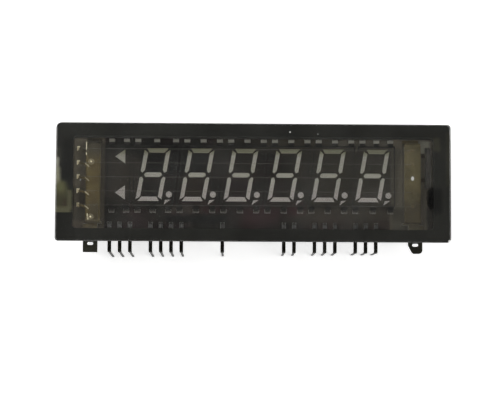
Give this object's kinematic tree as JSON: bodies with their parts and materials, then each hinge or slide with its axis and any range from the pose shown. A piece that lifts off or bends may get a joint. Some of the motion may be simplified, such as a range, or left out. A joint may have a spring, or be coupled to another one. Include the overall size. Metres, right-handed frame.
{
  "type": "vacuum fluorescent display",
  "caption": "Flat glass vacuum fluorescent display with slanted seven-segment digits, points, commas and pointers, inner grids, filaments and bent leads along one edge.",
  "frame": {"origin": "centre of the viewing face of the front plate", "axes": "+Z out of the viewing face towards the reader, +X along the row of digits in reading order, +Y towards the tops of the digits; the leads leave the -Y edge and bend to -Z"},
  "size_m": [0.0954, 0.0328, 0.0136],
  "materials": {
    "clear_glass": "polished",
    "black_solder": "satin",
    "wiring": "matte",
    "insulation": "matte",
    "graphite": "matte",
    "phosphor": "matte",
    "grid_foil": "satin",
    "bond_paste": "matte",
    "filament_wire": "matte",
    "weld_metal": "satin",
    "support_metal": "satin",
    "spring_metal": "satin",
    "getter_metal": "satin",
    "getter_compound": "matte",
    "getter_film": "polished",
    "lead_metal": "satin"
  },
  "bodies": {
    "root": {"face_plate": "clear_glass", "base_plate": "clear_glass", "side_plate_top": "clear_glass", "side_plate_bottom": "clear_glass", "side_plate_left": "clear_glass", "side_plate_right": "clear_glass", "face_seal": "black_solder", "base_seal": "black_solder", "exhaust_tip": "clear_glass", "tip_seal": "black_solder", "wiring_layer": "wiring", "insulating_layer": "insulation", "anode_pads": "graphite", "digit_1": "phosphor", "digit_2": "phosphor", "digit_3": "phosphor", "digit_4": "phosphor", "digit_5": "phosphor", "digit_6": "phosphor", "pointers": "phosphor", "pointer_grid": "grid_foil", "digit_grid_1": "grid_foil", "digit_grid_2": "grid_foil", "digit_grid_3": "grid_foil", "digit_grid_4": "grid_foil", "digit_grid_5": "grid_foil", "digit_grid_6": "grid_foil", "grid_bonds": "bond_paste", "lead_bonds": "bond_paste", "filament_1": "filament_wire", "filament_2": "filament_wire", "filament_3": "filament_wire", "filament_4": "filament_wire", "filament_5": "filament_wire", "filament_welds": "weld_metal", "spring_support": "support_metal", "filament_springs": "spring_metal", "fixed_support": "support_metal", "getter_holder": "support_metal", "getter_channel": "getter_metal", "getter_fill": "getter_compound", "getter_mirror": "getter_film", "lead_01": "lead_metal", "lead_02": "lead_metal", "lead_03": "lead_metal", "lead_04": "lead_metal", "lead_05": "lead_metal", "lead_06": "lead_metal", "lead_07": "lead_metal", "lead_08": "lead_metal", "lead_09": "lead_metal", "lead_10": "lead_metal", "lead_11": "lead_metal", "lead_12": "lead_metal", "lead_13": "lead_metal", "lead_14": "lead_metal", "lead_15": "lead_metal", "lead_16": "lead_metal"}
  },
  "joints": []
}
